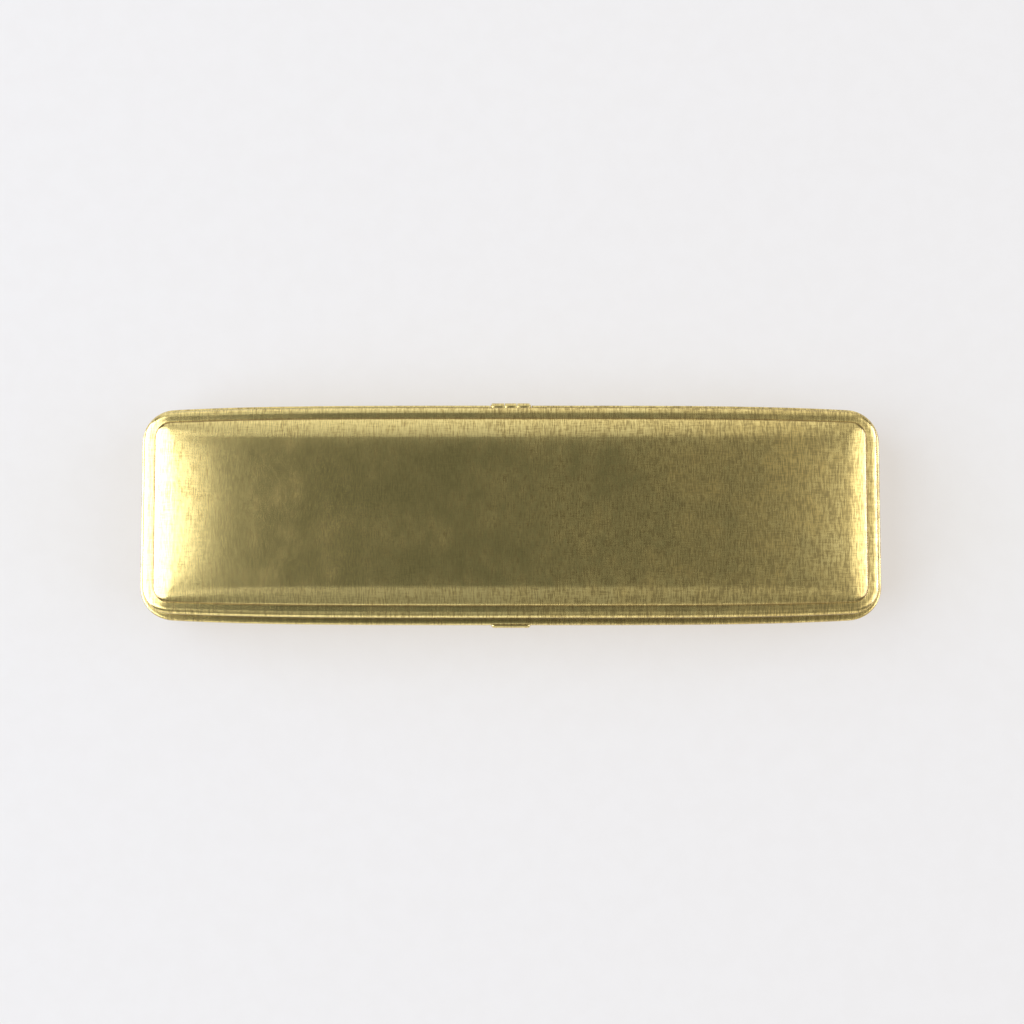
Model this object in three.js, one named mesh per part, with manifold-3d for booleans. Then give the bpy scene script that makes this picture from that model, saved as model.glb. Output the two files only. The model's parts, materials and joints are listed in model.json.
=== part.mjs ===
// A pocket needle case pressed from sheet brass: two shallow pans meet at a hemmed rim, and a barrel hinge
// joins them at the back. The lid closes over a collar in the base and is lifted by a thumb tab at the front.
// A felt pad for the needles lies in the base.
// Millimetres. +X runs along the case, -Y is its front, +Z is up, and z = 0 is the surface that it stands on.
import * as THREE from "three";
import { mergeVertices } from "three/addons/utils/BufferGeometryUtils.js";
import Module from "manifold-3d";

// Driving dimensions of the case.
const LENGTH = 120;
const WIDTH = 35.8;
const SHEET = 0.5; // wall of the pressed pans
const CORNER_R = 5.4;
const LEAST_CORNER_R = 0.8; // the corner of a ring that lies further in than the corner arcs reach
const BOW = 0.75; // how far each long side bows out between its corners
const BOW_FADE = 10; // the bow dies away at this inset
const PARTING_Z = 5.9; // the plane where lid and base meet
const RIM_GAP = 0.15; // from that plane to either rim

// The section of a pan, from its rim to its panel. Insets are measured inwards from the widest outline.
const BEAD_R = 0.4; // the half-round edge of the folded hem
const HEM_TOP = RIM_GAP + 2 * BEAD_R;
const WALL = 1.05; // inset of the upright wall
const ROLL_R = 1.05; // the roll from the wall to the ledge
const LEDGE = 0.7;
const CREASE = WALL + ROLL_R + LEDGE; // inset of the crease between ledge and shoulder
const SHOULDER = 3.2;
const CROWN_POWER_X = 6; // how late the crown falls away towards the short ends
const CROWN_POWER_Y = 4; // and towards the long sides

// The two pans: which way each one opens, its ledge above the parting plane, the rise of its shoulder and
// the crown of its panel.
const LID = { side: 1, ledge: 5.5, rise: 0.8, crown: 1.2 };
const BASE = { side: -1, ledge: 4.6, rise: 1.3, crown: 0 };

// The barrel hinge at the back.
const AXIS_INSET = 0.25;
const BARREL_R = 0.7;
const BORE_R = 0.41;
const PIN_R = 0.35;
const PIN_HEAD_R = 0.5;
const PIN_HEAD = 0.2;
const HINGE_LENGTH = 6.2;
const MIDDLE_KNUCKLE = 1.9;
const KNUCKLE_GAP = 0.1;
const LEAF = 0.4;
const LEAF_INSET = WALL + SHEET + 0.05;
const LEAF_FROM = 0.45; // the leaf's plate, from the parting plane
const LEAF_TO = 2.6;
const WEB_FROM = 0.15; // the web that joins a knuckle to its plate
const WEB_TO = 0.7;
const NOTCH_LENGTH = 6.8;
const NOTCH_HEIGHT = HEM_TOP + 0.1;

// The collar inside the base, which the lid closes over.
const COLLAR_OUTER = WALL + SHEET + 0.15;
const COLLAR_INNER = COLLAR_OUTER + 0.35;
const COLLAR_BELOW = 2.3;
const COLLAR_ABOVE = 1.4;
const COLLAR_NOTCH = 7;

// The thumb tab at the front.
const TAB_LENGTH = 6.4;
const TAB = 0.4;
const TAB_GAP = 0.05;
const TAB_ABOVE = 0.8;
const TAB_BELOW = 1.1;

// The pad in the base.
const PAD_CLEARANCE = 0.4; // round the pad, to the foot of the shoulder
const BOARD_FROM = SHEET + 0.05;
const BOARD = 0.6;
const WADDING = 0.8;
const FELT = 1.2;
const LAYER_GAP = 0.05;
const PAD_CROWN = 0.35;

// How finely curves are divided.
const CORNER_STEPS = 5;
const LONG_STEPS = 10;
const ROLL_STEPS = 4;
const BEAD_STEPS = 6;
const SHOULDER_STEPS = 5;
const PANEL_SCALES = [0.2, 0.45, 0.65, 0.8, 0.9];
const ROUND_STEPS = 24;

const FRONT_Y = -WIDTH / 2;
const AXIS_Y = WIDTH / 2 - AXIS_INSET;

const wasm = await Module();
wasm.setup();

// One level of the case seen from above: a rounded rectangle with bowed long sides, anticlockwise.
function ring(inset) {
  const a = LENGTH / 2 - inset;
  const b = WIDTH / 2 - inset;
  const r = Math.max(CORNER_R - inset, LEAST_CORNER_R);
  const bow = BOW * Math.max(0, 1 - inset / BOW_FADE);
  const slope = Math.atan((4 * bow) / (a - r));
  const endX = a - r + r * Math.sin(slope);
  const centreY = b - bow - r * Math.cos(slope);
  const corner = [];
  for (let i = 0; i <= CORNER_STEPS; i++) {
    const angle = ((Math.PI / 2 - slope) * i) / CORNER_STEPS;
    corner.push([a - r + r * Math.cos(angle), centreY + r * Math.sin(angle)]);
  }
  const side = [];
  for (let i = 1; i < LONG_STEPS; i++) {
    const along = 1 - (2 * i) / LONG_STEPS;
    side.push([along * endX, b - bow * along ** 4]);
  }
  const back = corner.map(([x, y]) => [-x, y]).reverse();
  const half = [...corner, ...side, ...back, [-a, 0]];
  return [...half, ...half.map(([x, y]) => [-x, -y])];
}

// The solid between a stack of rings of 3-D points, closed by a point or a flat end at either end.
function loft(rings) {
  const count = rings[0].length;
  const points = rings.flat();
  const faces = [];
  for (let k = 0; k + 1 < rings.length; k++) {
    for (let i = 0; i < count; i++) {
      const j = (i + 1) % count;
      const [low, high] = [k * count, (k + 1) * count];
      faces.push(low + i, low + j, high + j, low + i, high + j, high + i);
    }
  }
  const cap = (start, flipped) => {
    const centre = new THREE.Vector3();
    for (let i = 0; i < count; i++) centre.add(new THREE.Vector3(...points[start + i]));
    points.push(centre.divideScalar(count).toArray());
    const middle = points.length - 1;
    for (let i = 0; i < count; i++) {
      const j = (i + 1) % count;
      faces.push(middle, start + (flipped ? j : i), start + (flipped ? i : j));
    }
  };
  cap(0, true);
  cap((rings.length - 1) * count, false);
  const geometry = new THREE.BufferGeometry();
  geometry.setAttribute("position", new THREE.Float32BufferAttribute(points.flat(), 3));
  geometry.setIndex(faces);
  return geometry;
}

// A geometry as a manifold-3d solid, and back.
function toSolid(geometry) {
  const bare = new THREE.BufferGeometry();
  bare.setAttribute("position", geometry.getAttribute("position"));
  bare.setIndex(geometry.index);
  const merged = mergeVertices(bare, 1e-4);
  return new wasm.Manifold(
    new wasm.Mesh({
      numProp: 3,
      vertProperties: new Float32Array(merged.attributes.position.array),
      triVerts: new Uint32Array(merged.index.array),
    }),
  );
}

function toGeometry(solid) {
  const mesh = solid.getMesh();
  const geometry = new THREE.BufferGeometry();
  geometry.setAttribute("position", new THREE.BufferAttribute(mesh.vertProperties, 3));
  geometry.setIndex(new THREE.BufferAttribute(mesh.triVerts, 1));
  return geometry;
}

// A box between two corners.
function block(low, high) {
  const size = high.map((value, axis) => value - low[axis]);
  const middle = high.map((value, axis) => (value + low[axis]) / 2);
  return new THREE.BoxGeometry(...size).translate(...middle);
}

// A cylinder along X, between two places on the hinge's axis.
function rod(radius, fromX, toX) {
  return new THREE.CylinderGeometry(radius, radius, toX - fromX, ROUND_STEPS)
    .rotateZ(Math.PI / 2)
    .translate((fromX + toX) / 2, AXIS_Y, PARTING_Z);
}

// How high the shoulder stands at a share of its width, from its crease to the panel.
const shoulderShare = (u) => Math.sqrt(1 - (1 - u) ** 2);

// How far a pan's crown lifts its panel at a point in the plan.
function crown(kind, x, y) {
  const alongX = Math.abs(x) / (LENGTH / 2 - CREASE);
  const acrossY = Math.abs(y) / (WIDTH / 2 - CREASE);
  const shareX = 1 - Math.min(1, alongX ** CROWN_POWER_X);
  const shareY = 1 - Math.min(1, acrossY ** CROWN_POWER_Y);
  return kind.crown * shareX * shareY;
}

// The rings of a pan's panel and shoulder, from the middle out to the crease. depth is how far the surface
// lies below the outer one.
function domeRings(kind, depth) {
  const levels = PANEL_SCALES.map((scale) => ({
    plan: ring(CREASE + SHOULDER).map(([x, y]) => [x * scale, y * scale]),
    share: 1,
  }));
  for (let i = SHOULDER_STEPS; i >= 0; i--) {
    const u = 1 - Math.cos((i / SHOULDER_STEPS) * (Math.PI / 2));
    const foot = CREASE + depth * (1 - u);
    levels.push({ plan: ring(foot + (SHOULDER - depth) * u), share: shoulderShare(u) });
  }
  return levels.map(({ plan, share }) =>
    plan.map(([x, y]) => {
      const level = kind.ledge - depth + share * (kind.rise + crown(kind, x, y));
      return [x, y, PARTING_Z + kind.side * level];
    }),
  );
}

// One ring of a pan's rim at an inset, level above the parting plane.
function rimRing(kind, inset, level) {
  return ring(inset).map(([x, y]) => [x, y, PARTING_Z + kind.side * level]);
}

// The rings of the roll from the ledge to the upright wall.
function rollRings(kind, depth) {
  const rings = [];
  const radius = ROLL_R - depth;
  for (let i = 0; i <= ROLL_STEPS; i++) {
    const angle = (Math.PI / 2) * (i / ROLL_STEPS);
    const inset = WALL + ROLL_R - radius * Math.sin(angle);
    rings.push(rimRing(kind, inset, kind.ledge - ROLL_R + radius * Math.cos(angle)));
  }
  return rings;
}

// The hem: flat on top, half round at its edge and flat at the rim.
function hemRings(kind) {
  const rings = [rimRing(kind, WALL, HEM_TOP)];
  for (let i = 0; i <= BEAD_STEPS; i++) {
    const angle = Math.PI / 2 - (Math.PI * i) / BEAD_STEPS;
    const level = RIM_GAP + BEAD_R * (1 + Math.sin(angle));
    rings.push(rimRing(kind, BEAD_R * (1 - Math.cos(angle)), level));
  }
  rings.push(rimRing(kind, WALL + SHEET, RIM_GAP));
  return rings;
}

// A pressed pan: its outer surface from the middle to the rim, then its inner surface back to the middle.
function pan(kind) {
  const outer = [...domeRings(kind, 0), ...rollRings(kind, 0), ...hemRings(kind)];
  const inner = [...domeRings(kind, SHEET), ...rollRings(kind, SHEET)].reverse();
  const rings = [...outer, ...inner];
  if (kind.side > 0) rings.reverse();
  const notchLevel = kind.side * NOTCH_HEIGHT;
  const notch = block(
    [-NOTCH_LENGTH / 2, AXIS_Y - 1.5, PARTING_Z + Math.min(0, notchLevel)],
    [NOTCH_LENGTH / 2, AXIS_Y + 2, PARTING_Z + Math.max(0, notchLevel)],
  );
  return toGeometry(toSolid(loft(rings)).subtract(toSolid(notch)));
}

// A band that follows the outline between two insets and two levels, open at the back for the hinge.
function collar() {
  const [low, high] = [PARTING_Z - COLLAR_BELOW, PARTING_Z + COLLAR_ABOVE];
  const prism = (inset, from, to) =>
    toSolid(loft([from, to].map((z) => ring(inset).map(([x, y]) => [x, y, z]))));
  const band = prism(COLLAR_OUTER, low, high).subtract(prism(COLLAR_INNER, low - 1, high + 1));
  const gap = block([-COLLAR_NOTCH / 2, AXIS_Y - 3, low - 1], [COLLAR_NOTCH / 2, AXIS_Y + 3, high + 1]);
  return toGeometry(band.subtract(toSolid(gap)));
}

// One leaf of the hinge: a plate inside the wall, a web through the notch and the knuckles that it carries.
function hingeLeaf(side, knuckles) {
  const level = (from, to) => [from, to].map((value) => PARTING_Z + side * value).sort((p, q) => p - q);
  const plateY = WIDTH / 2 - LEAF_INSET;
  const [plateLow, plateHigh] = level(LEAF_FROM, LEAF_TO);
  const [webLow, webHigh] = level(WEB_FROM, WEB_TO);
  const half = HINGE_LENGTH / 2;
  let leaf = toSolid(block([-half, plateY - LEAF, plateLow], [half, plateY, plateHigh]));
  for (const [fromX, toX] of knuckles) {
    leaf = leaf.add(toSolid(block([fromX, plateY - LEAF, webLow], [toX, AXIS_Y - BORE_R / 2, webHigh])));
    leaf = leaf.add(toSolid(rod(BARREL_R, fromX, toX)));
  }
  return toGeometry(leaf.subtract(toSolid(rod(BORE_R, -half - 1, half + 1))));
}

// The pin, with a peened head at each end.
function hingePin() {
  const half = HINGE_LENGTH / 2 + 0.05;
  return toGeometry(
    toSolid(rod(PIN_R, -half, half))
      .add(toSolid(rod(PIN_HEAD_R, half, half + PIN_HEAD)))
      .add(toSolid(rod(PIN_HEAD_R, -half - PIN_HEAD, -half))),
  );
}

// The thumb tab: a strip outside the hem of the lid that reaches down over the seam.
function thumbTab() {
  const round = TAB / 2;
  const [low, high] = [PARTING_Z - TAB_BELOW, PARTING_Z + TAB_ABOVE];
  const outline = new THREE.Shape();
  const inner = FRONT_Y - TAB_GAP;
  outline.moveTo(inner, low + round);
  outline.lineTo(inner, high - round);
  outline.absarc(inner - round, high - round, round, 0, Math.PI, false);
  outline.lineTo(inner - TAB, low + round);
  outline.absarc(inner - round, low + round, round, Math.PI, 2 * Math.PI, false);
  const options = { depth: TAB_LENGTH, bevelEnabled: false, curveSegments: 5 };
  const strip = new THREE.ExtrudeGeometry(outline, options);
  // The outline is drawn in Y and Z and pushed along X.
  strip.applyMatrix4(
    new THREE.Matrix4().makeBasis(
      new THREE.Vector3(0, 1, 0),
      new THREE.Vector3(0, 0, 1),
      new THREE.Vector3(1, 0, 0),
    ),
  );
  return strip.translate(-TAB_LENGTH / 2, 0, 0);
}

// A layer of the pad between two levels. A crown lifts its middle.
function padLayer(from, thickness, lift) {
  const plan = ring(CREASE + SHOULDER + PAD_CLEARANCE);
  const levels = [[1, from], [1, from + thickness]];
  for (const scale of lift ? [0.9, 0.6, 0.3] : []) {
    levels.push([scale, from + thickness + lift * (1 - scale ** 2)]);
  }
  return loft(levels.map(([scale, z]) => plan.map(([x, y]) => [x * scale, y * scale, z])));
}

const BRASS = { color: 0xb39a55, roughness: 0.32, metalness: 1 };
const HARDWARE = { color: 0xc4ab66, roughness: 0.28, metalness: 1 };
const FELT_WOOL = { color: 0xe6dfcf, roughness: 0.95, metalness: 0 };
const CARD = { color: 0xb9a98a, roughness: 0.9, metalness: 0 };

function named(name, geometry, finish) {
  const mesh = new THREE.Mesh(geometry, new THREE.MeshStandardMaterial(finish));
  mesh.name = name;
  return mesh;
}

const middle = MIDDLE_KNUCKLE / 2;
const outerKnuckles = [
  [-HINGE_LENGTH / 2, -middle - KNUCKLE_GAP],
  [middle + KNUCKLE_GAP, HINGE_LENGTH / 2],
];
const waddingFrom = BOARD_FROM + BOARD + LAYER_GAP;
const feltFrom = waddingFrom + WADDING + LAYER_GAP;

const base = new THREE.Group();
base.add(
  named("base_shell", pan(BASE), BRASS),
  named("base_collar", collar(), HARDWARE),
  named("base_hinge_leaf", hingeLeaf(-1, outerKnuckles), HARDWARE),
  named("hinge_pin", hingePin(), HARDWARE),
  named("pad_board", padLayer(BOARD_FROM, BOARD, 0), CARD),
  named("pad_wadding", padLayer(waddingFrom, WADDING, 0), FELT_WOOL),
  named("needle_pad", padLayer(feltFrom, FELT, PAD_CROWN), FELT_WOOL),
);

const lid = new THREE.Group();
lid.add(
  named("lid_shell", pan(LID), BRASS),
  named("lid_hinge_leaf", hingeLeaf(1, [[-middle, middle]]), HARDWARE),
  named("thumb_tab", thumbTab(), HARDWARE),
);

const needleCase = new THREE.Group();
needleCase.add(base, lid);

export default needleCase;
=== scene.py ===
"""Fine surfaces of a flat pocket needle case, built around its frame.

Two pans pressed from thin brass sheet meet at a folded hem. A barrel hinge joins them at the back,
a collar inside the base guides the lid, and a thumb tab lifts it at the front. A felt pad for needles
lies in the base.
Meshes are shaped in millimetres and handed over in metres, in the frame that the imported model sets.
"""
import json
import logging
import math
from dataclasses import dataclass, field
from enum import Enum

import bmesh
import bpy
import numpy as np
from mathutils import Matrix, Vector


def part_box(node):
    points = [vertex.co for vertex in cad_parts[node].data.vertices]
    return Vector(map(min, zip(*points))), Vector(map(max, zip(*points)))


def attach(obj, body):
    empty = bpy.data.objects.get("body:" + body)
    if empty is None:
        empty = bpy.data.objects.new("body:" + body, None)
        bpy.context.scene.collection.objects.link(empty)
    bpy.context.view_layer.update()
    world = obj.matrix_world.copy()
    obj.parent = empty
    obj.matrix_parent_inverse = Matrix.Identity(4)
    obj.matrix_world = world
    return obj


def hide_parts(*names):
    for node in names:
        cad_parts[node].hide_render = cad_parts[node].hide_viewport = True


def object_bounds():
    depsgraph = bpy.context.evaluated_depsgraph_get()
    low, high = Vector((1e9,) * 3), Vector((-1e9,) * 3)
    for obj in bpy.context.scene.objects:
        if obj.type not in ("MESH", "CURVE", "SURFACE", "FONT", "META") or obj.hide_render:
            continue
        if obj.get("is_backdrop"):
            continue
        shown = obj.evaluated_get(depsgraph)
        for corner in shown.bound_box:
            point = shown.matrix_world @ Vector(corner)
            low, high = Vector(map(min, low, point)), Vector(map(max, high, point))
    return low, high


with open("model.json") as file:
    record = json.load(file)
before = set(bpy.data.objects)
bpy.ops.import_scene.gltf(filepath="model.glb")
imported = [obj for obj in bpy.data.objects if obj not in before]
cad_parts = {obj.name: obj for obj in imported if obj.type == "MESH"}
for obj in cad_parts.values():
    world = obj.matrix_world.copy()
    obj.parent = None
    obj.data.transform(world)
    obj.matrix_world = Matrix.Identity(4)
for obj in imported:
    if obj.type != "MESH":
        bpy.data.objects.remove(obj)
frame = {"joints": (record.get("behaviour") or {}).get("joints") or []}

CAD_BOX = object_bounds()
MM = 0.001
# Name of the vertex layer that says where the brass is darkened in wall, hem and crease: partly
# tarnished metal, partly painted shade.
RECESS = "recess"
MIX_FIRST, MIX_SECOND, MIX_RESULT = 6, 7, 2  # a Mix node's colour sockets, whose names aren't unique
log = logging.getLogger("needle_case")

RGB = tuple[float, float, float]
Point = tuple[float, float]


class Half(Enum):
    """The two halves of the case: the CAD body each one rides on and the way it opens."""

    BASE = ("base", -1)
    LID = ("lid", 1)

    @property
    def body(self) -> str:
        """Name of the CAD body."""
        return self.value[0]

    @property
    def side(self) -> int:
        """1 where the half lies above the parting plane, -1 below it."""
        return self.value[1]


# ---------------------------------------------------------------- meshes


def mesh_object(name: str, points: np.ndarray, faces: list[tuple[int, ...]]) -> bpy.types.Object:
    """Makes a linked mesh object from points and faces.

    Args:
        name: The object's name.
        points: One row of x, y, z per vertex, in millimetres.
        faces: Vertex numbers of each face.

    Returns:
        The new object.
    """
    mesh = bpy.data.meshes.new(name)
    mesh.from_pydata(points.tolist(), [], faces)
    mesh.validate()
    piece = bpy.data.objects.new(name, mesh)
    bpy.context.scene.collection.objects.link(piece)
    return piece


def loft(name: str, rings: list[np.ndarray]) -> bpy.types.Object:
    """Joins a stack of rings into one closed skin, with a pole at either end.

    Args:
        name: The object's name.
        rings: Arrays of the same number of 3-D points, from one pole to the other.

    Returns:
        The closed mesh, with its faces pointing outwards.
    """
    count = len(rings[0])
    points = np.vstack([rings[0].mean(axis=0), *rings, rings[-1].mean(axis=0)])
    last = len(points) - 1
    faces: list[tuple[int, ...]] = []
    for i in range(count):
        j = (i + 1) % count
        faces.append((0, 1 + j, 1 + i))
        for k in range(len(rings) - 1):
            low = 1 + k * count
            high = low + count
            faces.append((low + i, low + j, high + j, high + i))
        faces.append((last, last - count + i, last - count + j))
    piece = mesh_object(name, points, faces)
    face_outwards(piece)
    return piece


def face_outwards(piece: bpy.types.Object) -> None:
    """Turns every face of a closed mesh outwards.

    Args:
        piece: The object whose mesh is put right.
    """
    shape = bmesh.new()
    shape.from_mesh(piece.data)
    bmesh.ops.remove_doubles(shape, verts=shape.verts, dist=1e-5)
    bmesh.ops.recalc_face_normals(shape, faces=shape.faces)
    shape.to_mesh(piece.data)
    shape.free()


def prism(name: str, outline: list[Point], low: float, high: float) -> bpy.types.Object:
    """Pushes an outline drawn in Y and Z along X.

    Args:
        name: The object's name.
        outline: Corners of the outline, as (y, z) in millimetres.
        low: X of the first end.
        high: X of the other end.

    Returns:
        The closed prism.
    """
    count = len(outline)
    points = np.array([(x, y, z) for x in (low, high) for y, z in outline])
    faces: list[tuple[int, ...]] = [tuple(range(count)), tuple(range(count, 2 * count))]
    for i in range(count):
        j = (i + 1) % count
        faces.append((i, j, count + j, count + i))
    piece = mesh_object(name, points, faces)
    face_outwards(piece)
    return piece


def settle(piece: bpy.types.Object) -> None:
    """Turns the result of a piece's modifiers into its plain mesh.

    Args:
        piece: The object; its modifiers are removed.
    """
    graph = bpy.context.evaluated_depsgraph_get()
    mesh = bpy.data.meshes.new_from_object(piece.evaluated_get(graph))
    old = piece.data
    piece.modifiers.clear()
    piece.data = mesh
    mesh.name = piece.name
    bpy.data.meshes.remove(old)


def combine(piece: bpy.types.Object, other: bpy.types.Object, operation: str) -> None:
    """Joins or cuts a piece with another one, which is used up.

    Args:
        piece: The object that is changed.
        other: The object that is joined to it or cut out of it.
        operation: UNION or DIFFERENCE.
    """
    modifier = piece.modifiers.new("combine", "BOOLEAN")
    modifier.operation = operation
    modifier.solver = "EXACT"
    modifier.object = other
    settle(piece)
    bpy.data.objects.remove(other)


def round_edges(piece: bpy.types.Object, width: float, segments: int, angle: float) -> None:
    """Rounds the edges of a piece that turn sharply.

    Args:
        piece: The object.
        width: How far the rounding reaches from the edge, in millimetres.
        segments: How many strips make the rounding.
        angle: The least angle between two faces that is rounded, in degrees.
    """
    bevel = piece.modifiers.new("edges", "BEVEL")
    bevel.width = width
    bevel.segments = segments
    bevel.limit_method = "ANGLE"
    bevel.angle_limit = math.radians(angle)
    bevel.use_clamp_overlap = True
    settle(piece)


def arc(centre: Point, radii: Point, start: float, end: float, steps: int) -> list[Point]:
    """Points of an elliptic arc, both ends included.

    Args:
        centre: Centre of the arc.
        radii: Its two half axes.
        start: First angle in degrees, anticlockwise from the first axis.
        end: Last angle in degrees.
        steps: How many stretches the arc is divided into.

    Returns:
        The points.
    """
    points = []
    for i in range(steps + 1):
        angle = math.radians(start + (end - start) * i / steps)
        across, along = radii[0] * math.cos(angle), radii[1] * math.sin(angle)
        points.append((centre[0] + across, centre[1] + along))
    return points


def near(value: float, centre: float, reach: float) -> float:
    """Tells how near a value is to another: 1 at it, falling to 0 at a reach to either side."""
    return max(0.0, 1 - abs(value - centre) / reach)


def below(value: float, limit: float, fade: float) -> float:
    """Tells whether a value is below a limit: 0 above it, rising to 1 over a fade below it."""
    return max(0.0, min(1.0, (limit - value) / fade))


def hand_over(
    piece: bpy.types.Object,
    body: str,
    slot: str,
    finish: bpy.types.Material,
    *nodes: str,
    sharp: float = 35,
) -> None:
    """Brings a finished piece into the frame: metres, finish, body and the CAD nodes it replaces.

    Args:
        piece: The object, shaped in millimetres.
        body: The CAD body that it rides on.
        slot: Not used.
        finish: Its material.
        *nodes: The CAD nodes that it replaces.
        sharp: Faces that meet at more than this many degrees keep a hard edge.
    """
    mesh = piece.data
    mesh.transform(Matrix.Scale(MM, 4))
    mesh.materials.clear()
    mesh.materials.append(finish)
    mesh.polygons.foreach_set("use_smooth", [True] * len(mesh.polygons))
    mesh.set_sharp_from_angle(angle=math.radians(sharp))
    mesh.update()
    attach(piece, body)
    if nodes:
        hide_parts(*nodes)
    log.info("%s: %d faces on %s", piece.name, len(mesh.polygons), body)


# ---------------------------------------------------------------- node trees


def add_node(
    tree: bpy.types.NodeTree, kind: str, settings: dict[str, object] | None = None, **inputs: object
) -> bpy.types.Node:
    """Adds a node and fills its inputs.

    Args:
        tree: The tree that it goes into.
        kind: The node's type.
        settings: Properties of the node itself.
        **inputs: Input names, with underscores for spaces. A socket is joined, anything else is set.

    Returns:
        The node.
    """
    node = tree.nodes.new(kind)
    for name, value in (settings or {}).items():
        setattr(node, name, value)
    for name, value in inputs.items():
        target = node.inputs[name.replace("_", " ").title()]
        if isinstance(value, bpy.types.NodeSocket):
            tree.links.new(value, target)
        else:
            target.default_value = value
    return node


def grower(
    name: str, source: str, numbers: tuple[str, ...]
) -> tuple[bpy.types.NodeTree, bpy.types.NodeOutputs]:
    """Starts a geometry node tree that turns one geometry into another.

    Args:
        name: The tree's name.
        source: Name of the geometry that goes in.
        numbers: Names of the plain numbers that go in.

    Returns:
        The tree and what it is given: the source, the numbers, Seed and Finish.
    """
    tree = bpy.data.node_groups.new(name, "GeometryNodeTree")
    kinds = {source: "Geometry", **dict.fromkeys(numbers, "Float"), "Seed": "Int", "Finish": "Material"}
    for label, kind in kinds.items():
        tree.interface.new_socket(label, in_out="INPUT", socket_type=f"NodeSocket{kind}")
    tree.interface.new_socket("Result", in_out="OUTPUT", socket_type="NodeSocketGeometry")
    return tree, tree.nodes.new("NodeGroupInput").outputs


def end_grower(
    tree: bpy.types.NodeTree, geometry: bpy.types.NodeSocket, finish: bpy.types.NodeSocket
) -> None:
    """Ends a geometry node tree: makes its result real and gives it its finish.

    Args:
        tree: The tree.
        geometry: The geometry that it has made.
        finish: The material that it is given.
    """
    real = add_node(tree, "GeometryNodeRealizeInstances", geometry=geometry).outputs["Geometry"]
    coat = add_node(tree, "GeometryNodeSetMaterial", geometry=real, material=finish)
    add_node(tree, "NodeGroupOutput", result=coat.outputs["Geometry"])


# ---------------------------------------------------------------- finishes


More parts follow.
